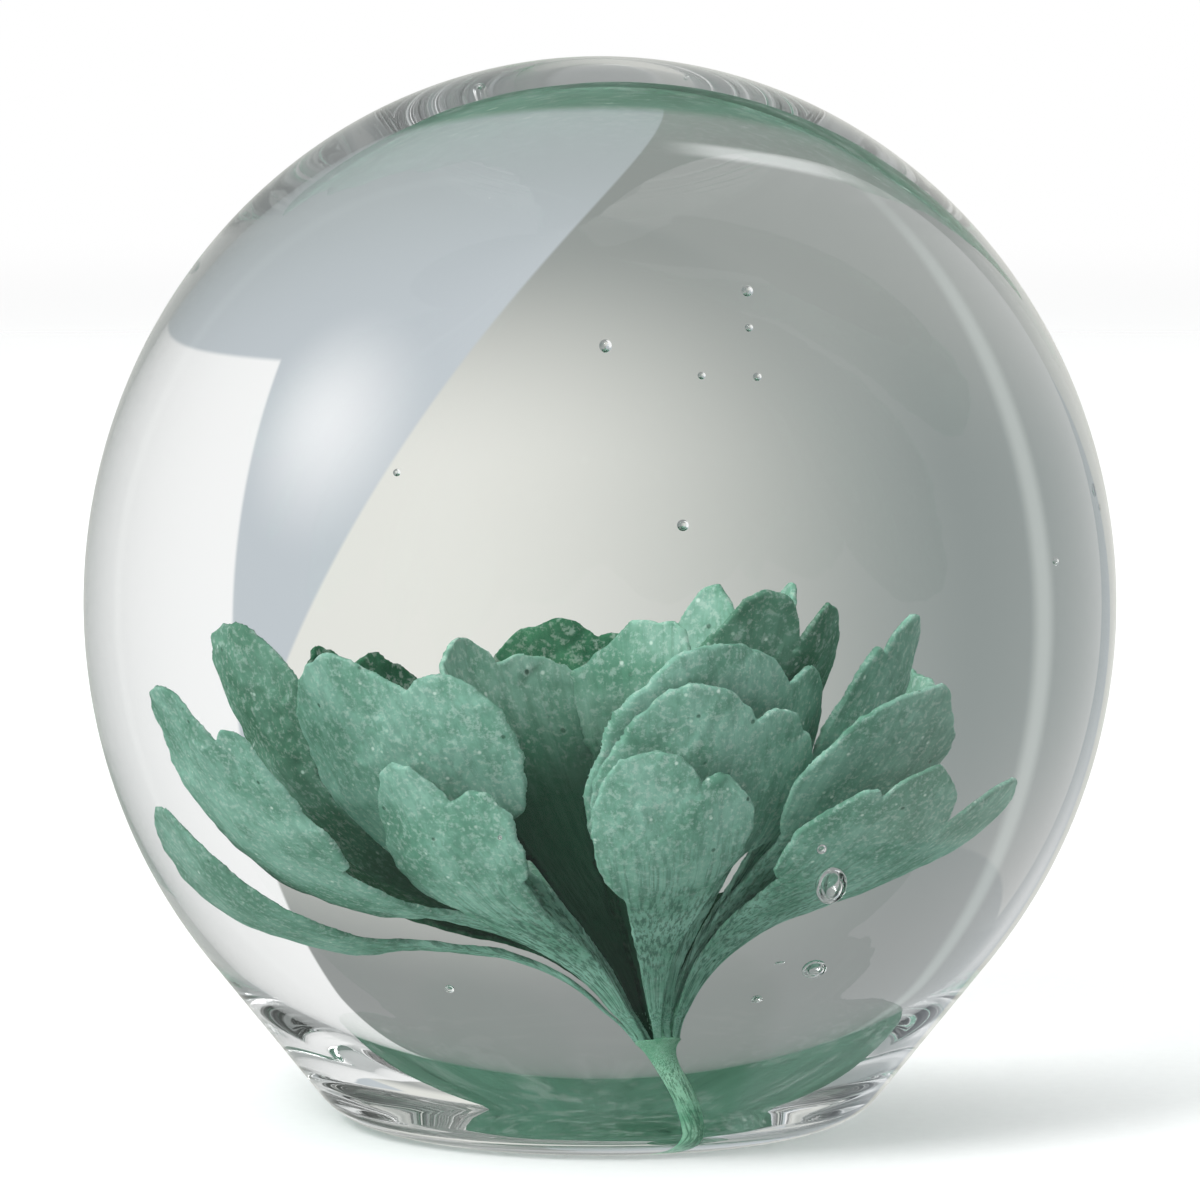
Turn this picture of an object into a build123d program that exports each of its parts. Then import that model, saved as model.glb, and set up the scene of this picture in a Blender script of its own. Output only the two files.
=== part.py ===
from build123d import *
import os
from math import asin, atan2, cos, degrees, pi, radians, sin, sqrt

os.makedirs("parts", exist_ok=True)

# Clear glass ball paperweight with a layered glass flower sealed inside it.
# Millimetres, Z up, the flat polished foot on Z = 0, the ball's axis on X = Y = 0.

# ---- ball ---------------------------------------------------------------------------------
ball_width = 80.0        # across the widest point
ball_height = 82.6       # foot to crown
foot_slope = 0.8         # how fast the lower wall opens out: radius gained per mm of height
foot_fillet = 6.0        # rounding where the lower wall meets the flat foot
widest_at = 0.488        # height of the widest point as a share of the ball height

# ---- flower -------------------------------------------------------------------------------
scale = min(ball_width / 80.0, ball_height / 82.6)   # the flower keeps its place in the ball
root_x = 3.0             # the flower's neck stands this far to the right of the ball's axis
neck_height = 15.0       # height of the neck, where every petal ribbon meets the stem
flower_lean = 8.0        # degrees the bloom leans to the left
petal_thickness = 0.38
ribbon_width = 0.62      # width of each petal where it meets the stem
ribbon_gap = 0.22        # clear glass between neighbouring ribbons in a ring
stem_top_radius = 2.15   # the stem's flared top, under all the ribbons
stem_foot_radius = 0.35
stem_foot_height = 1.8   # the stem's lower end stays this far above the foot
bubble_size = 1.0        # factor on every air bubble

ring_inset = 0.37        # from the rim of the stem's top to the outer ring of ribbons
ring_step = 0.58         # from one ring of ribbons to the next

# rings of ribbon ends on the stem's flared top
OUTER = stem_top_radius - ring_inset
MIDDLE = OUTER - ring_step
INNER = MIDDLE - ring_step

# Each petal: direction it leans out to, degrees round the flower from the right-hand side
# (-90 is the front); the ring its ribbon starts in; the two points that bend its mid-rib and
# its tip as (distance out, height above the neck); half-width of its fan; radius of its cup;
# the way its fan is lobed; fan length as a share of its half-width; degrees it is rolled about
# its own length.
PETALS = {
    "outer_petal_front": (-76, OUTER, (4.5, 10), (13, 4), (16.0, 17.6), 4.8, 10, "right", 1.15, 0),
    "outer_petal_front_left": (-133, OUTER, (5, 11), (13, 4), (17.0, 18.5), 4.8, 10, "right", 1.15, 0),
    "outer_petal_left_high": (-160, OUTER, (6, 18), (19, 0), (28.4, 25), 5.8, 12, "right", 1.60, 0),
    "outer_petal_left_low": (178, OUTER, (6.8, 16), (17, 0), (26, 17), 4.8, 14, "round", 1.60, 0),
    "outer_petal_back_left": (132, OUTER, (4, 12), (12, 5), (19.5, 16.5), 5.4, 12, "both", 1.10, 0),
    "outer_petal_back": (95, OUTER, (8, 11.5), (21.5, 7.5), (30.8, 21.2), 6.6, 14, "both", 1.25, 0),
    "outer_petal_back_right": (58, OUTER, (4, 10), (8, 6), (11.2, 9.6), 4.2, 12, "round", 1.0, 0),
    "outer_petal_right_low": (4, OUTER, (4.5, 11.5), (14, 5), (21.4, 12.5), 4.2, 14, "round", 1.5, 0),
    "outer_petal_right_front": (-30, OUTER, (4, 12), (14, 4), (21.6, 13.8), 5.0, 14, "left", 1.3, -12),
    "outer_petal_front_right": (-63, OUTER, (3.6, 12.8), (11.7, 6.8), (14.8, 21), 6.8, 11, "right", 1.05, 0),
    "middle_petal_front_left": (-150, MIDDLE, (4.5, 14), (13.2, 7.2), (16.6, 25.4), 7.2, 11, "right", 1.05, 16),
    "middle_petal_left": (173, MIDDLE, (4.6, 14.6), (16.2, 6.5), (19.2, 26.8), 5.0, 10, "round", 1.45, 24),
    "middle_petal_back_left": (150, MIDDLE, (4, 13), (13, 11), (15.5, 24.5), 6.4, 10, "both", 1.0, 0),
    "middle_petal_back": (100, MIDDLE, (4, 13), (11, 13), (12, 24), 6.0, 10, "both", 1.0, 0),
    "middle_petal_right_high": (3, MIDDLE, (3.6, 13.4), (11.8, 10.2), (16.6, 22.8), 3.4, 10, "left", 1.9, -18),
    "middle_petal_right": (27, MIDDLE, (4.6, 12), (12.8, 8.4), (17.4, 19.2), 5.2, 12, "round", 1.2, 10),
    "middle_petal_right_low": (-22, MIDDLE, (4.2, 12.3), (13.4, 7.2), (21.2, 18.6), 5.2, 12, "round", 1.3, -14),
    "middle_petal_front": (-45, MIDDLE, (3.1, 12.9), (10.2, 9.1), (13.9, 23.2), 8.2, 11, "right", 0.95, 0),
    "inner_petal_back_left": (148, INNER, (2, 13), (7, 13), (8, 24.2), 7.2, 10, "both", 1.0, 0),
    "inner_petal_back": (54, INNER, (2, 13), (4, 15), (5.2, 24), 4.2, 8, "round", 1.0, 0),
    "inner_petal_front_right": (-22, INNER, (1.9, 13.2), (8.0, 13.4), (13.2, 25), 5.3, 9, "split", 1.0, -20),
    "middle_petal_back_right": (56, MIDDLE, (3, 12), (9, 14), (11, 24.8), 2.2, 7, "round", 2.0, 0),
    "inner_petal_right": (26, INNER, (1.9, 13), (7.5, 14), (11.2, 25), 2.6, 7, "round", 1.9, 0),
}

# Lobes of a fan, in half-widths: back from its front edge, to the side, half-length, half-width.
LOBES = {
    "round": [(0.0, 0.0, 1.0, 0.96)],
    "right": [(0.0, -0.24, 1.0, 0.76), (0.36, 0.58, 0.66, 0.42)],
    "left": [(0.0, 0.24, 1.0, 0.76), (0.36, -0.58, 0.66, 0.42)],
    "both": [(0.0, 0.0, 1.0, 0.60), (0.20, -0.55, 0.80, 0.44), (0.26, 0.56, 0.76, 0.42)],
    "split": [(0.0, -0.42, 1.0, 0.58), (0.10, 0.50, 0.90, 0.50)],
}

# Air bubbles: centre (x, y, z), length, width, and whether the length lies level or upright,
# millimetres in the 80 mm ball.
BUBBLES = [
    ((8.4, -5.0, 59.4), 0.70, 0.70, "upright"),
    ((8.6, -7.0, 57.6), 0.50, 0.50, "upright"),
    ((0.3, -3.0, 55.4), 0.80, 0.70, "upright"),
    ((5.6, -4.0, 53.9), 0.45, 0.45, "upright"),
    ((8.8, -5.0, 54.1), 0.50, 0.50, "upright"),
    ((-11.5, -7.0, 48.8), 0.45, 0.45, "upright"),
    ((4.8, -11.0, 46.2), 0.70, 0.70, "upright"),
    ((31.0, 0.0, 47.6), 0.90, 0.70, "upright"),
    ((31.3, 0.6, 46.4), 0.45, 0.45, "upright"),
    ((25.6, 0.0, 42.8), 0.50, 0.50, "upright"),
    ((-9.4, -14.0, 17.0), 0.60, 0.60, "upright"),
    ((13.7, -15.0, 17.9), 1.70, 1.40, "level"),
    ((10.0, -15.0, 16.0), 0.75, 0.60, "level"),
    ((11.6, -17.0, 18.4), 0.70, 0.25, "level"),
    ((14.2, -19.0, 26.2), 0.70, 0.70, "upright"),
    ((15.0, -19.0, 23.6), 2.70, 2.20, "upright"),
    ((-6.6, -25.0, 27.2), 0.30, 0.30, "upright"),
]


def unit(x, y):
    size = sqrt(x * x + y * y)
    return x / size, y / size


def petal_sheet(control, half_width, cup):
    """Thin curved blank a petal is cut from: a bent mid-rib with a cupped cross-section."""
    start, bend_1, bend_2, end = control
    on = unit(end[0] - bend_2[0], end[1] - bend_2[1])
    rib = [(start[0] - 0.2, start[1] - 1.0), bend_1, bend_2, (end[0] + on[0], end[1] + on[1])]
    ways = [unit(rib[1][0] - rib[0][0], rib[1][1] - rib[0][1]),
            unit(rib[2][0] - rib[0][0], rib[2][1] - rib[0][1]),
            unit(rib[3][0] - rib[1][0], rib[3][1] - rib[1][1]), on]
    nets = []
    for face_side in (-1, 1):
        net = []
        for (out, up), (way_out, way_up), share in zip(rib, ways, (0.25, 0.9, 1.1, 1.0)):
            reach = (half_width + 0.8) * share
            row = []
            for k in (-1, 0, 1):
                lift = (reach ** 2 / (2 * cup)) * (1 if k else -1)
                tilt = unit(-k * reach / cup, 1)
                lift += face_side * tilt[1] * petal_thickness / 2
                side = k * reach + face_side * tilt[0] * petal_thickness / 2
                row.append((out - way_up * lift, side, up + way_out * lift))
            net.append(row)
        nets.append(net)
    under, upper = (Face.make_bezier_surface(net) for net in nets)
    edges = []
    for net in nets:
        edges.append([Bezier(*[row[0] for row in net]), Bezier(*net[-1]),
                      Bezier(*[row[-1] for row in net]), Bezier(*net[0])])
    rims = [Face.make_surface_from_curves(low, high) for low, high in zip(*edges)]
    return Solid(Shell([under, upper] + rims))


def petal_outline(length, half_width, lobing, stretch):
    """Outline in the plane of the petal's chord: a ribbon that widens into a lobed fan."""
    half, spread = ribbon_width / 2, min(half_width, 5.5)
    centre = length - half_width * stretch
    knee = centre - 0.25 * half_width
    body = half_width * 0.86
    rise = [(0, half), (0.20 * length, half + 0.12 * spread), (0.37 * length, half + 0.29 * spread),
            (0.54 * length, half + 0.52 * spread), (knee, body)]
    flare = Spline(*rise, tangents=((1, 0.05), (1, 0.8)))
    upper = Line((-1.5, half), (0, half)) + flare + Line((knee, body), (centre, body))
    lower = mirror(upper, Plane.XZ)
    ends = [Line((-1.5, half), (-1.5, -half)), Line((centre, body), (centre, -body))]
    shape = make_face(upper + lower + ends)
    for back, side, half_long, half_across in LOBES[lobing]:
        x = length - half_width * stretch * (back + half_long)
        shape += Pos(x, side * half_width) * Ellipse(
            half_long * stretch * half_width, half_across * half_width)
    return shape


def slot_angles():
    """Where on its ring each ribbon starts: its own way out, moved aside to clear its neighbours."""
    slots = {}
    for ring in (OUTER, MIDDLE, INNER):
        names = sorted((n for n in PETALS if PETALS[n][1] == ring), key=lambda n: PETALS[n][0] % 360)
        turns = [PETALS[n][0] % 360 for n in names]
        apart = min(1, (ribbon_width + ribbon_gap) / (2 * ring))
        pitch = min(degrees(2 * asin(apart)), 360 / len(turns))
        for _ in range(400):
            for i in range(len(turns)):
                j = (i + 1) % len(turns)
                short = pitch - (turns[j] - turns[i]) % 360
                if 0 < short < 180:
                    turns[i] -= short / 2
                    turns[j] += short / 2
        slots.update(zip(names, turns))
    return slots


def sized(shape):
    """The flower and the bubbles grow and shrink with the ball, about the middle of its foot."""
    if scale == 1:
        return shape
    return Pos(*(shape.position * (scale - 1))) * shape.scale(scale)


def to_ball(shape):
    """From the flower's own upright frame to its leaning place in the ball."""
    return sized(Pos(root_x, 0, neck_height) * Rot(0, -flower_lean, 0) * shape)


def make_petal(name, slot):
    way, ring, bend_1, bend_2, tip, half_width, cup, lobing, stretch, roll = PETALS[name]
    control = [(0, 0)] + [(p[0] - ring, p[1]) for p in (bend_1, bend_2, tip)]
    end = control[-1]
    length = sqrt(end[0] ** 2 + end[1] ** 2)
    rise = degrees(atan2(end[1], end[0]))
    outline = petal_outline(length, half_width, lobing, stretch)
    chord = Rot(0, -rise, 0)
    petal = petal_sheet(control, half_width, cup) & chord * extrude(outline, amount=16, both=True)
    if roll:
        petal = petal.rotate(Axis((0, 0, 0), (end[0], 0, end[1])), roll)
    petal = petal & Pos(0, 0, 30) * Box(120, 60, 60)
    solid = max(petal.solids(), key=lambda s: s.volume)
    place = Pos(ring * cos(radians(slot)), ring * sin(radians(slot)), 0) * Rot(0, 0, way)
    return place * solid


def pared(petal, others):
    """The petal cut back wherever it would share space with one that is already made."""
    box = petal.bounding_box()
    for other in others:
        near = other.bounding_box()
        if any(getattr(box.max, k) < getattr(near.min, k) or getattr(near.max, k) < getattr(box.min, k)
               for k in "XYZ"):
            continue
        shared = petal & other
        if shared is not None and shared.volume > 1e-4:
            petal = max((petal - other).solids(), key=lambda s: s.volume)
    return petal


def make_stem():
    """A short bent stem that flares out under the ribbons."""
    stations = [
        ((0, 0, 0), stem_top_radius), ((0.05, 0, -1.6), 1.05), ((0.45, 0, -4.6), 0.62),
        ((0.6, 0, -9.2), 0.55), ((0.0, 0, stem_foot_height - neck_height), stem_foot_radius),
    ]
    rings = [Pos(*centre) * Circle(radius) for centre, radius in stations]
    return loft(rings)


def make_ball():
    a = ball_width / 2
    centre = ball_height * widest_at
    b = ball_height - centre
    q = -foot_slope / sqrt(foot_slope ** 2 + (a / b) ** 2)
    r_join, z_join = a * sqrt(1 - q * q), centre + b * q
    r_foot = r_join - foot_slope * z_join
    arc = [(a * cos(t), centre + b * sin(t))
           for t in [(pi / 2) * k / 12 + (1 - k / 12) * atan2(q, sqrt(1 - q * q)) for k in range(13)]]
    lean = 1 / sqrt(1 + foot_slope ** 2)
    crown = Spline(*arc, tangents=((foot_slope * lean, lean), (-1, 0)))
    outline = Line((0, 0), (r_foot, 0)) + Line((r_foot, 0), arc[0]) + crown
    outline += Line((0, ball_height), (0, 0))
    profile = make_face(Plane.XZ * outline)
    ball = revolve(profile, Axis.Z)
    rim = ball.edges().filter_by(GeomType.CIRCLE).sort_by(Axis.Z)[0]
    return fillet(rim, foot_fillet)


def make_bubble(centre, length, width, lie):
    """An air bubble: a small ball, or one drawn out along its length."""
    long_half, half_across = length * bubble_size / 2, width * bubble_size / 2
    if length == width:
        bubble = Sphere(half_across)
    else:
        section = Ellipse(half_across, long_half)
        section = section & Pos(2 * width, 0) * Rectangle(4 * width, 4 * length)
        bubble = revolve(Plane.XZ * section, Axis.Z)
    if lie == "level":
        bubble = Rot(0, 90, 0) * bubble
    return Pos(*centre) * bubble


slots = slot_angles()
petals = {}
for name in PETALS:
    petals[name] = pared(to_ball(make_petal(name, slots[name])), petals.values())
stem = to_ball(make_stem())
bubbles = [sized(make_bubble(*bubble)) for bubble in BUBBLES]

# The glass closes on the flower and the bubbles, so each of them is hollowed out of the ball.
ball = make_ball().cut(stem, *petals.values(), *bubbles)

nodes = {"clear_glass_ball": ball, "flower_stem": stem, **petals}
for name, shape in nodes.items():
    export_step(shape, f"parts/{name}.step")
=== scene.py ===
from math import atan2, cos, pi, radians, sin, sqrt, tan

import bmesh
import bpy
from mathutils import Matrix, Vector, noise


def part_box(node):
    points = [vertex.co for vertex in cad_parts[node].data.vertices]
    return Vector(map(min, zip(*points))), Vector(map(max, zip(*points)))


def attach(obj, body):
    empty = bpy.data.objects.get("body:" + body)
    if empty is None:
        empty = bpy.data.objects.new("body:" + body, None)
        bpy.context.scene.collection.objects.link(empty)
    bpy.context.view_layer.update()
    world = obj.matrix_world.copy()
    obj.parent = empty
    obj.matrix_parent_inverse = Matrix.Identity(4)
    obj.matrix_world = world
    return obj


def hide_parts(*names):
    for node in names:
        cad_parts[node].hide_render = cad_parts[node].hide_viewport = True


MM = 0.001
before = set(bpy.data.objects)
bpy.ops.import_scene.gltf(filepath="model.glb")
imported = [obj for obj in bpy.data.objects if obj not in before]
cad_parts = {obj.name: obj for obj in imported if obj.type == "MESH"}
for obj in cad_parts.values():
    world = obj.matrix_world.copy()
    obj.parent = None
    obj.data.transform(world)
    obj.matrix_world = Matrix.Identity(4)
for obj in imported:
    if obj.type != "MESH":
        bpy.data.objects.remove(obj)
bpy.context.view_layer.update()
scene = bpy.context.scene

BALL = "clear_glass_ball"
STEM = "flower_stem"
PETALS = sorted(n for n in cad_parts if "_petal_" in n)
NECK = Vector((3.0, 0.0, 15.0)) * MM     # where the petals' ribbons meet the stem
LEAN = radians(8.0)                      # the bloom leans to the left
AXIS = Vector((-sin(LEAN), 0.0, cos(LEAN)))
SEED = 5
noise.seed_set(SEED)                     # the petals wander the same way every time

# The ball's outline: a flat foot with a rounded edge, a conical wall and an elliptical crown.
WALL_SLOPE = 0.8                         # how far the lower wall leans out for each unit of rise
FOOT_ROUNDING = 6.0 * MM
WIDEST = 0.488                           # height of the widest point, as a share of the ball's
AROUND = 256                             # faces round the ball

# Air bubbles as in the CAD ball: centre, length, width in mm, and how the length lies.
BUBBLES = [
    ((8.4, -5.0, 59.4), 0.70, 0.70, "upright"),
    ((8.6, -7.0, 57.6), 0.50, 0.50, "upright"),
    ((0.3, -3.0, 55.4), 0.80, 0.70, "upright"),
    ((5.6, -4.0, 53.9), 0.45, 0.45, "upright"),
    ((8.8, -5.0, 54.1), 0.50, 0.50, "upright"),
    ((-11.5, -7.0, 48.8), 0.45, 0.45, "upright"),
    ((4.8, -11.0, 46.2), 0.70, 0.70, "upright"),
    ((31.0, 0.0, 47.6), 0.90, 0.70, "upright"),
    ((31.3, 0.6, 46.4), 0.45, 0.45, "upright"),
    ((25.6, 0.0, 42.8), 0.50, 0.50, "upright"),
    ((-9.4, -14.0, 17.0), 0.60, 0.60, "upright"),
    ((13.7, -15.0, 17.9), 1.70, 1.40, "level"),
    ((10.0, -15.0, 16.0), 0.75, 0.60, "level"),
    ((11.6, -17.0, 18.4), 0.70, 0.25, "level"),
    ((14.2, -19.0, 26.2), 0.70, 0.70, "upright"),
    ((15.0, -19.0, 23.6), 2.70, 2.20, "upright"),
    ((-6.6, -25.0, 27.2), 0.30, 0.30, "upright"),
]

# Working of the hot glass.
PETAL_VOXEL, STEM_VOXEL = 0.13 * MM, 0.11 * MM
STEM_SWELL = 0.04 * MM                   # makes up for what smoothing takes off the stem
STEM_TOP_BAND = 3.2 * MM                 # ribbons up to here run together with the stem
NECK_SQUEEZE = 0.42                      # share of its width that the neck loses
SQUEEZE_ABOVE, SQUEEZE_BELOW = 10.0 * MM, 5.0 * MM
STILL_UP_TO, SET_IN = 4.0 * MM, 12.0 * MM    # the wander starts so far from the neck and grows this long
# Each wander: noise cells per metre, how far it goes, and a shift that sets it apart.
SLOW = (190.0, 0.36 * MM, Vector((0.0, 0.0, 0.0)))
WIDE = (330.0, 0.60 * MM, Vector((7.0, 3.0, 5.0)))
FINE = (1100.0, 0.22 * MM, Vector((1.0, 9.0, 4.0)))

# Petals that aren't plain mint: each carries painted shade low down, and the shaded ones are a darker
# mint that stands in for shade.
GREEN_PETALS = ("middle_petal_back", "middle_petal_back_left",
                "outer_petal_back_left", "outer_petal_back_right")
MINT_PAINTED_SHADE_PETALS = ("outer_petal_back", "middle_petal_left", "inner_petal_front_right")
MINT_DEEP_PAINTED_SHADE_PETALS = ("inner_petal_back", "inner_petal_back_left", "inner_petal_right",
               "middle_petal_back_right", "middle_petal_right")


# ---- small node helpers -------------------------------------------------------------------
class Nodes:
    """Short names for building a node tree."""

    def __init__(self, tree):
        self.tree = tree
        tree.nodes.clear()

    def new(self, kind, inputs=None, **settings):
        node = self.tree.nodes.new(kind)
        for key, value in settings.items():
            setattr(node, key, value)
        for key, value in (inputs or {}).items():
            self.put(node.inputs[key], value)
        return node

    def put(self, socket, value):
        if isinstance(value, bpy.types.NodeSocket):
            self.tree.links.new(value, socket)
        else:
            socket.default_value = value

    def math(self, operation, a, b=0.0, c=0.0):
        return self.new("ShaderNodeMath", {0: a, 1: b, 2: c}, operation=operation).outputs[0]

    def step(self, value, low, high, to_low=0.0, to_high=1.0):
        """Smooth step of value from low to high."""
        node = self.new("ShaderNodeMapRange", interpolation_type="SMOOTHSTEP")
        for key, v in (("Value", value), ("From Min", low), ("From Max", high),
                       ("To Min", to_low), ("To Max", to_high)):
            self.put(node.inputs[key], v)
        return node.outputs[0]

    def mix(self, factor, a, b, blend="MIX"):
        node = self.new("ShaderNodeMix", data_type="RGBA", blend_type=blend)
        self.put(node.inputs[0], factor)
        self.put(node.inputs[6], a)
        self.put(node.inputs[7], b)
        return node.outputs[2]


def material(name):
    made = bpy.data.materials.new(name)
    made.use_nodes = True
    return made, Nodes(made.node_tree)


def rgb(r, g, b):
    """Linear colour from 0-255 screen values."""
    return tuple(((v / 255 + 0.055) / 1.055) ** 2.4 for v in (r, g, b)) + (1.0,)


# ---- materials ----------------------------------------------------------------------------
def clear_glass():
    made, n = material("clear_glass")
    shader = n.new("ShaderNodeBsdfPrincipled", {
        "Base Color": (0.985, 0.995, 0.99, 1.0), "Roughness": 0.0, "IOR": 1.5,
        "Transmission Weight": 1.0})
    out = n.new("ShaderNodeOutputMaterial")
    n.tree.links.new(shader.outputs[0], out.inputs["Surface"])
    return made


def petal_glass(name, light, deep, shade=0.0):
    """Powdery coloured glass: fine pale specks, tiny dark pits, streaks running to the neck.

    Shade is painted shade: it darkens the lower part of a petal that stands deep inside the flower.
    """
    made, n = material(name)
    place = n.new("ShaderNodeTexCoord").outputs["Object"]
    away = n.new("ShaderNodeVectorMath", {0: place, 1: NECK}, operation="DISTANCE").outputs["Value"]
    cloud = n.new("ShaderNodeTexNoise", {"Vector": place, "Scale": 230.0, "Detail": 6.0,
                                         "Roughness": 0.65}).outputs["Fac"]
    powder = n.new("ShaderNodeTexNoise", {"Vector": place, "Scale": 2600.0, "Detail": 3.0,
                                          "Roughness": 0.7}).outputs["Fac"]
    speck = n.new("ShaderNodeTexVoronoi", {"Vector": place, "Scale": 1500.0, "Randomness": 1.0})
    pits = n.new("ShaderNodeTexVoronoi", {"Vector": place, "Scale": 900.0, "Randomness": 1.0})

    offset = n.new("ShaderNodeVectorMath", {0: place, 1: NECK}, operation="SUBTRACT").outputs[0]
    way = n.new("ShaderNodeVectorMath", {0: offset}, operation="NORMALIZE").outputs[0]
    streak = n.new("ShaderNodeTexNoise", {"Vector": way, "Scale": 46.0, "Detail": 4.0,
                                          "Roughness": 0.7}).outputs["Fac"]
    low = n.step(away, 0.021, 0.009)      # 1 on the ribbons, 0 on the fans

    tone = n.mix(n.step(cloud, 0.35, 0.66), deep, light)
    lines = n.math("MULTIPLY", n.step(streak, 0.44, 0.60), n.math("MULTIPLY_ADD", low, 0.62, 0.20))
    tone = n.mix(lines, tone, tuple(0.42 * c for c in deep[:3]) + (1.0,))
    dust = n.math("MULTIPLY_ADD", low, -0.30, 0.38)
    tone = n.mix(n.math("MULTIPLY", n.step(powder, 0.48, 0.66), dust), tone,
                 tuple(0.45 + 0.55 * c for c in light[:3]) + (1.0,))
    grain = n.math("MULTIPLY", n.step(speck.outputs["Distance"], 0.24, 0.08),
                   n.step(speck.outputs["Color"], 0.66, 0.80))
    tone = n.mix(n.math("MULTIPLY", grain, n.math("MULTIPLY_ADD", low, -0.7, 0.8)), tone,
                 rgb(214, 232, 222))
    hole = n.math("MULTIPLY", n.step(pits.outputs["Distance"], 0.17, 0.07),
                  n.step(pits.outputs["Color"], 0.72, 0.80))
    tone = n.mix(n.math("MULTIPLY", hole, 0.7), tone, rgb(40, 78, 60))
    # painted shade: near the neck the petal darkens towards a near-black green
    if shade:
        root = n.step(away, 0.0245, 0.0160)
        tone = n.mix(n.math("MULTIPLY", root, shade), tone, rgb(20, 60, 40))

    height = n.math("ADD", n.math("MULTIPLY", powder, 0.5), n.math("MULTIPLY", streak, 0.8))
    height = n.math("SUBTRACT", height, hole)
    bump = n.new("ShaderNodeBump", {"Height": height, "Strength": 0.4, "Distance": 0.0001})
    shader = n.new("ShaderNodeBsdfPrincipled", {
        "Base Color": tone, "Roughness": 0.62, "Normal": bump.outputs[0]})
    shader.inputs["Specular IOR Level"].default_value = 0.0
    out = n.new("ShaderNodeOutputMaterial")
    n.tree.links.new(shader.outputs[0], out.inputs["Surface"])
    return made


GLASS = clear_glass()
MINT = petal_glass("mint_powder_glass", rgb(146, 192, 174), rgb(104, 154, 132))
# the mint with strong painted shade on the lower part of petals that stand deep inside the flower
MINT_DEEP_PAINTED_SHADE = petal_glass("mint_glass_deep_painted_shade", rgb(148, 190, 172), rgb(98, 150, 126), shade=0.95)
# a darker copy of the mint that stands in for shade on these petals, with painted shade low down as well
MINT_PAINTED_SHADE = petal_glass("mint_glass_painted_shade", rgb(112, 156, 136), rgb(78, 124, 100), shade=0.8)
# darker green for the back petals, with painted shade on their lower part
GREEN = petal_glass("green_powder_glass", rgb(72, 132, 98), rgb(36, 88, 62), shade=0.7)
STALK = petal_glass("stem_glass", rgb(160, 208, 180), rgb(104, 166, 134))


# ---- meshes -------------------------------------------------------------------------------
def add_object(name, mesh, mat, node):
    """A piece of the object, which stands in for one CAD node."""
    obj = bpy.data.objects.new(name, mesh)
    scene.collection.objects.link(obj)
    mesh.materials.clear()
    mesh.materials.append(mat)
    for face in mesh.polygons:
        face.use_smooth = True
    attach(obj, "root")
    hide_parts(node)


def remeshed(mesh, voxel, smooth=0, inflate=0.0):
    """A copy of the mesh with evenly sized faces and softly rounded edges."""
    temp = bpy.data.objects.new("temp", mesh)
    scene.collection.objects.link(temp)
    remesh = temp.modifiers.new("remesh", "REMESH")
    remesh.mode, remesh.voxel_size, remesh.use_smooth_shade = "VOXEL", voxel, True
    if smooth:
        soften = temp.modifiers.new("smooth", "SMOOTH")
        soften.factor, soften.iterations = 0.5, smooth
    if inflate:
        grow = temp.modifiers.new("grow", "DISPLACE")
        grow.mid_level, grow.strength = 0.0, inflate
    solved = temp.evaluated_get(bpy.context.evaluated_depsgraph_get())
    made = bpy.data.meshes.new_from_object(solved)
    bpy.data.objects.remove(temp)
    return made


def draw_in(mesh):
    """The hot ribbons and the stem's top are pulled together into a narrow neck."""
    for v in mesh.vertices:
        up = (v.co - NECK).dot(AXIS)
        aside = v.co - NECK - up * AXIS
        near = max(0.0, 1.0 - up / SQUEEZE_ABOVE if up > 0 else 1.0 + up / SQUEEZE_BELOW)
        v.co = NECK + up * AXIS + aside * (1.0 - NECK_SQUEEZE * near * near * (3.0 - 2.0 * near))


def wander(point, kind):
    waves, reach, shift = kind
    return noise.noise_vector(point * waves + shift) * reach


def worked_by_hand(mesh):
    """Hot-worked glass is never even: the sheet wanders slowly and its margin is ragged."""
    for v in mesh.vertices:
        p = v.co
        ease = min(1.0, max(0.0, ((p - NECK).length - STILL_UP_TO) / SET_IN))
        along = (p - NECK).normalized()
        across = along.cross(AXIS).normalized()
        margin = wander(p, WIDE) + wander(p, FINE)
        v.co = p + (wander(p, SLOW) + along * margin.x + across * margin.y) * ease
    draw_in(mesh)


def petal_material(name):
    if name in GREEN_PETALS:
        return GREEN
    if name in MINT_PAINTED_SHADE_PETALS:
        return MINT_PAINTED_SHADE
    if name in MINT_DEEP_PAINTED_SHADE_PETALS:
        return MINT_DEEP_PAINTED_SHADE
    return MINT


def make_petal(name):
    mesh = remeshed(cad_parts[name].data.copy(), PETAL_VOXEL, smooth=2)
    worked_by_hand(mesh)
    add_object("glass_" + name, mesh, petal_material(name), name)


def make_stem():
    """The stem with the ribbons' lower ends run together into it."""
    bm = bmesh.new()
    bm.from_mesh(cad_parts[STEM].data)
    for name in PETALS:
        part = bmesh.new()
        part.from_mesh(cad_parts[name].data)
        cut = bmesh.ops.bisect_plane(
            part, geom=part.verts[:] + part.edges[:] + part.faces[:],
            plane_co=NECK + AXIS * STEM_TOP_BAND, plane_no=AXIS, clear_outer=True)
        rim = [e for e in cut["geom_cut"] if isinstance(e, bmesh.types.BMEdge)]
        bmesh.ops.holes_fill(part, edges=rim)
        piece = bpy.data.meshes.new("piece")
        part.to_mesh(piece)
        bm.from_mesh(piece)
        part.free()
    whole = bpy.data.meshes.new("stem_whole")
    bm.to_mesh(whole)
    bm.free()
    mesh = remeshed(whole, STEM_VOXEL, smooth=12, inflate=STEM_SWELL)
    draw_in(mesh)
    add_object("glass_stem", mesh, STALK, STEM)


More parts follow.
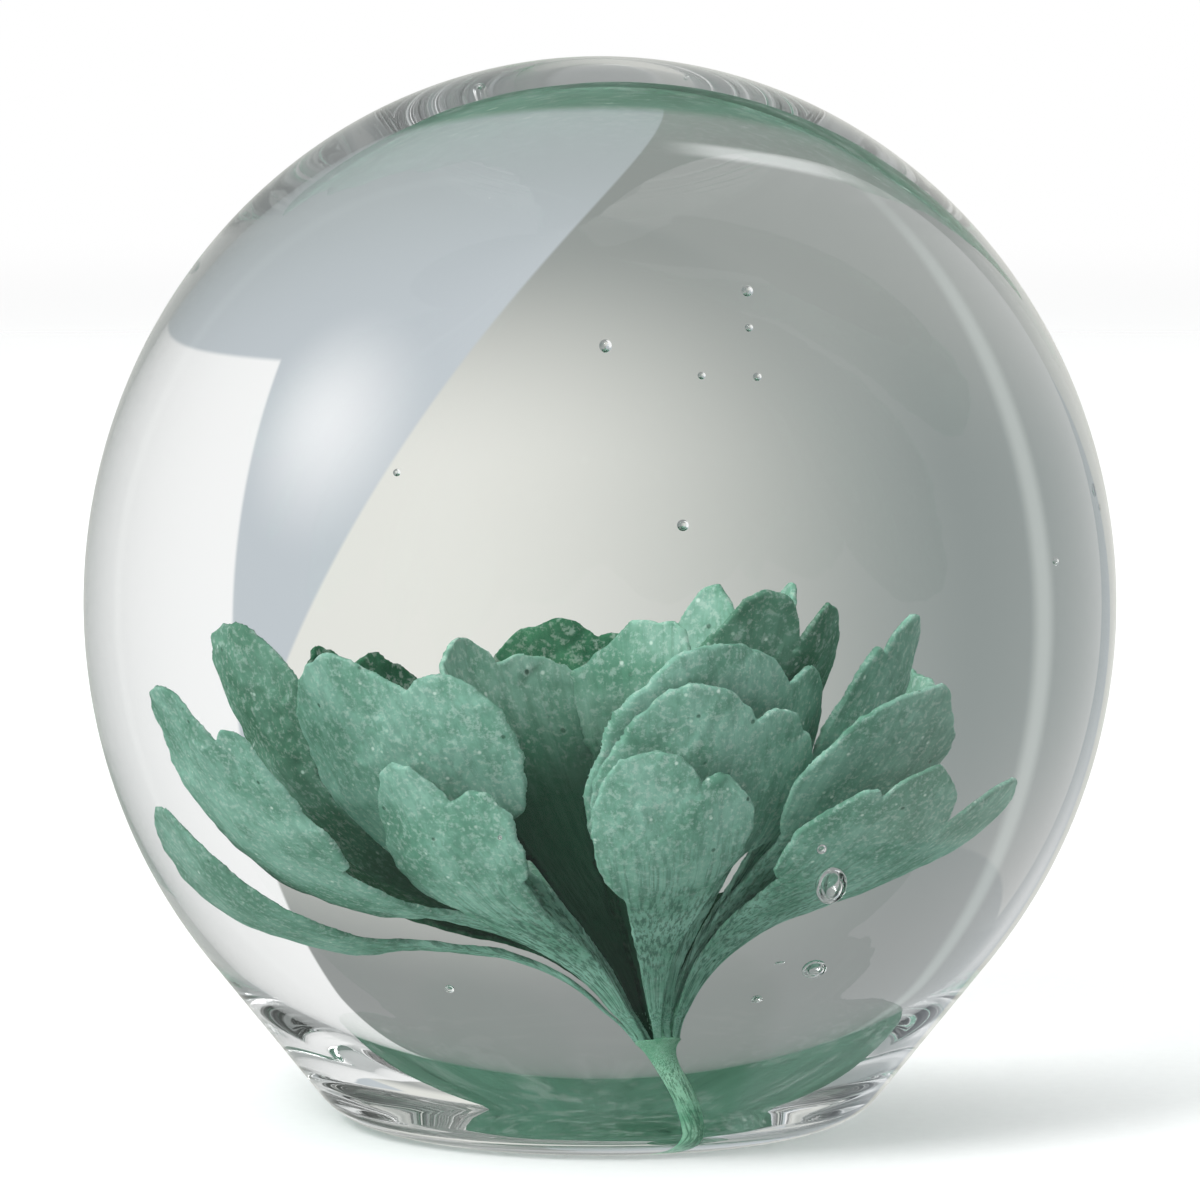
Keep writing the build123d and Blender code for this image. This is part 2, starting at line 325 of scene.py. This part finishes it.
def ball_outline(a, height):
    """Points (radius, height) up the ball's side, for its largest radius and its height."""
    centre = height * WIDEST
    b = height - centre
    q = -WALL_SLOPE / sqrt(WALL_SLOPE ** 2 + (a / b) ** 2)     # sine of where the wall meets the crown
    r_join, z_join = a * sqrt(1 - q * q), centre + b * q
    r_foot = r_join - WALL_SLOPE * z_join
    rise = atan2(1.0, WALL_SLOPE)
    r_flat = r_foot - FOOT_ROUNDING * tan(rise / 2)
    flat = [(r_flat * k / 8, 0.0) for k in range(1, 8)]
    rounding = [(r_flat + FOOT_ROUNDING * sin(rise * k / 14), FOOT_ROUNDING * (1 - cos(rise * k / 14)))
                for k in range(15)]
    r0, z0 = rounding[-1]
    wall = [(r0 + (r_join - r0) * k / 10, z0 + (z_join - z0) * k / 10) for k in range(1, 10)]
    t0 = atan2(q, sqrt(1 - q * q))
    crown = [(a * cos(t), centre + b * sin(t))
             for t in [t0 + (pi / 2 - t0) * k / 150 for k in range(150)]]
    return flat + rounding + wall + crown


def turned(bm, outline, height):
    """Adds the closed body that the outline sweeps round the Z axis."""
    foot, crown = bm.verts.new((0, 0, 0)), bm.verts.new((0, 0, height))
    rings = [[bm.verts.new((r * cos(2 * pi * k / AROUND), r * sin(2 * pi * k / AROUND), z))
              for k in range(AROUND)] for r, z in outline]
    for k in range(AROUND):
        j = (k + 1) % AROUND
        bm.faces.new((foot, rings[0][j], rings[0][k]))
        bm.faces.new((crown, rings[-1][k], rings[-1][j]))
        for lower, upper in zip(rings, rings[1:]):
            bm.faces.new((lower[k], lower[j], upper[j], upper[k]))


def make_ball():
    """The ball as a fine turned mesh, so that what is seen through it bends smoothly."""
    low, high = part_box(BALL)
    bm = bmesh.new()
    turned(bm, ball_outline((high.x - low.x) / 2, high.z), high.z)
    for centre_mm, length, width, lie in BUBBLES:
        made = bmesh.ops.create_icosphere(bm, subdivisions=4, radius=0.5 * MM)
        size = (length, width, width) if lie == "level" else (width, width, length)
        place = Matrix.Translation(Vector(centre_mm) * MM) @ Matrix.Diagonal(size + (1.0,))
        bmesh.ops.transform(bm, matrix=place, verts=made["verts"])
        faces = {f for v in made["verts"] for f in v.link_faces}
        bmesh.ops.reverse_faces(bm, faces=list(faces))
    mesh = bpy.data.meshes.new("clear_ball")
    bm.to_mesh(mesh)
    bm.free()
    add_object("clear_ball", mesh, GLASS, BALL)


make_ball()
make_stem()
for petal in PETALS:
    make_petal(petal)


# ---- floor, room and lights ---------------------------------------------------------------
def make_floor():
    """A round sheet of white paper that fades away at its rim."""
    bm = bmesh.new()
    bmesh.ops.create_circle(bm, cap_ends=True, segments=96, radius=2.5)
    mesh = bpy.data.meshes.new("floor")
    bm.to_mesh(mesh)
    bm.free()
    made, n = material("floor_paper")
    place = n.new("ShaderNodeTexCoord").outputs["Object"]
    away = n.new("ShaderNodeVectorMath", {0: place}, operation="LENGTH").outputs["Value"]
    grain = n.new("ShaderNodeTexNoise", {"Vector": place, "Scale": 900.0}).outputs["Fac"]
    tone = n.mix(grain, (0.90, 0.90, 0.90, 1), (0.94, 0.94, 0.94, 1))
    paper = n.new("ShaderNodeBsdfDiffuse", {"Color": tone})
    clear = n.new("ShaderNodeBsdfTransparent")
    fade = n.new("ShaderNodeMixShader", {0: n.step(away, 0.25, 1.2)})
    n.tree.links.new(paper.outputs[0], fade.inputs[1])
    n.tree.links.new(clear.outputs[0], fade.inputs[2])
    out = n.new("ShaderNodeOutputMaterial")
    n.tree.links.new(fade.outputs[0], out.inputs["Surface"])
    mesh.materials.append(made)
    floor = bpy.data.objects.new("floor", mesh)
    scene.collection.objects.link(floor)
    floor.visible_transmission = False
    floor.visible_glossy = False


ROOM_LIGHT = 2.4                         # how much brighter the room is where it lights things
FROM_LEFT, FROM_RIGHT = 1.85, 0.25       # shares of that light


def make_room():
    """A pale studio all round: a bright wall with a white board to one side, a cool table top."""
    world = bpy.data.worlds.new("studio")
    scene.world = world
    world.use_nodes = True
    n = Nodes(world.node_tree)
    way = n.new("ShaderNodeTexCoord").outputs["Generated"]
    split = n.new("ShaderNodeSeparateXYZ", {0: way})
    x, y, z = split.outputs
    turn = n.math("MULTIPLY", n.math("ARCTAN2", x, y), 180 / pi)     # degrees to the right of +Y
    rise = n.math("MULTIPLY", n.math("ARCSINE", z), 180 / pi)

    # wall: warm white low down and a little right of the middle, greyer up high and to the left
    wall = n.mix(n.step(turn, -34.0, 14.0), rgb(130, 139, 137), rgb(234, 234, 228))
    wall = n.mix(n.step(rise, 2.0, 28.0), wall, rgb(146, 149, 148))
    wall = n.mix(n.step(rise, -14.0, -36.0), wall, rgb(150, 155, 152))
    # cool table top beyond a slanting edge, with a soft glow on it
    edge = n.math("SUBTRACT", rise, n.math("MULTIPLY_ADD", turn, 1.57, -40.5))
    top = n.mix(n.step(rise, -22.0, -50.0), rgb(198, 205, 211), rgb(180, 188, 190))
    glow = n.math("POWER", n.math("ADD", n.math("POWER", n.math("SUBTRACT", turn, 23.0), 2.0),
                                  n.math("POWER", n.math("ADD", rise, 19.0), 2.0)), 0.5)
    top = n.mix(n.step(glow, 11.0, 0.0), top, rgb(244, 246, 249))
    wall = n.mix(n.step(edge, 0.4, -0.4), wall, top)
    # painted green shadow: the flower's own green cast, painted on the table close under the ball
    wall = n.mix(n.step(rise, -61.0, -66.0), wall, rgb(98, 130, 114))
    # bright board to the right
    board = n.math("MULTIPLY", n.step(turn, 31.2, 31.8), n.step(turn, 125.0, 95.0))
    board = n.math("MULTIPLY", board, n.step(n.math("MULTIPLY_ADD", turn, 0.17, rise), -20.2, -19.6))
    wall = n.mix(board, wall, rgb(255, 255, 255))
    # thin pale strips to the left and low in front of the wall
    strip = n.math("MULTIPLY", n.step(turn, -49.0, -46.0), n.step(turn, -42.0, -45.0))
    strip = n.math("MULTIPLY", strip, n.step(rise, -62.0, -30.0))
    wall = n.mix(n.math("MULTIPLY", strip, 0.7), wall, rgb(186, 193, 190))
    bar = n.math("MULTIPLY", n.step(rise, -53.5, -52.0), n.step(rise, -49.0, -50.5))
    bar = n.math("MULTIPLY", bar, n.step(turn, -50.0, -34.0))
    bar = n.math("MULTIPLY", bar, n.step(turn, -8.0, -20.0))
    wall = n.mix(bar, wall, rgb(214, 217, 216))
    # the camera's side of the room: even soft light, darker to the right
    behind = n.step(n.math("ABSOLUTE", turn), 100.0, 140.0)
    front = n.mix(n.step(rise, -20.0, 50.0), rgb(150, 154, 154), rgb(226, 228, 228))
    front = n.mix(n.step(x, -0.2, 0.6), front, rgb(120, 124, 124))
    wall = n.mix(behind, wall, front)

    seen = n.new("ShaderNodeBackground", {"Color": (1.0, 1.0, 1.0, 1.0), "Strength": 1.0})
    path = n.new("ShaderNodeLightPath").outputs
    side = n.step(x, 0.65, -0.65, FROM_RIGHT * ROOM_LIGHT, FROM_LEFT * ROOM_LIGHT)
    lit = n.step(path["Diffuse Depth"], 0.4, 0.6, 1.0, side)
    room = n.new("ShaderNodeBackground", {"Color": wall, "Strength": lit})
    both = n.new("ShaderNodeMixShader", {0: path["Is Camera Ray"]})
    n.tree.links.new(room.outputs[0], both.inputs[1])
    n.tree.links.new(seen.outputs[0], both.inputs[2])
    out = n.new("ShaderNodeOutputWorld")
    n.tree.links.new(both.outputs[0], out.inputs["Surface"])


def point_at(obj, place, aim):
    obj.location = place
    obj.rotation_mode = "QUATERNION"
    obj.rotation_quaternion = (Vector(aim) - Vector(place)).to_track_quat("-Z", "Y")


def add_light(name, place, size, power):
    data = bpy.data.lights.new(name, "AREA")
    data.shape, data.size, data.energy = "DISK", size, power
    light = bpy.data.objects.new(name, data)
    scene.collection.objects.link(light)
    point_at(light, place, FLOWER_MIDDLE)
    light.visible_camera = False
    light.visible_glossy = False


FLOWER_MIDDLE = (0.0, 0.0, 0.03)
BALL_MIDDLE = Vector((0.0, 0.0, 0.0405))
CAMERA_DISTANCE = 0.6
CAMERA_RISE = radians(6.0)

make_floor()
make_room()
add_light("key", (-0.9, -1.2, 1.3), 0.7, 17.0)
add_light("fill", (1.3, -0.9, 0.9), 0.9, 3.0)

camera = bpy.data.objects.new("camera", bpy.data.cameras.new("camera"))
scene.collection.objects.link(camera)
camera.data.lens, camera.data.sensor_width = 232.0, 36.0
camera.data.clip_start, camera.data.clip_end = 0.01, 20.0
off = CAMERA_DISTANCE * Vector((0.0, -cos(CAMERA_RISE), sin(CAMERA_RISE)))
point_at(camera, BALL_MIDDLE + off, BALL_MIDDLE)
scene.camera = camera
scene.view_settings.view_transform = "Standard"
scene.cycles.max_bounces = 28
scene.cycles.transmission_bounces = 24
scene.cycles.glossy_bounces = 24
scene.cycles.caustics_refractive = True
scene.cycles.caustics_reflective = True
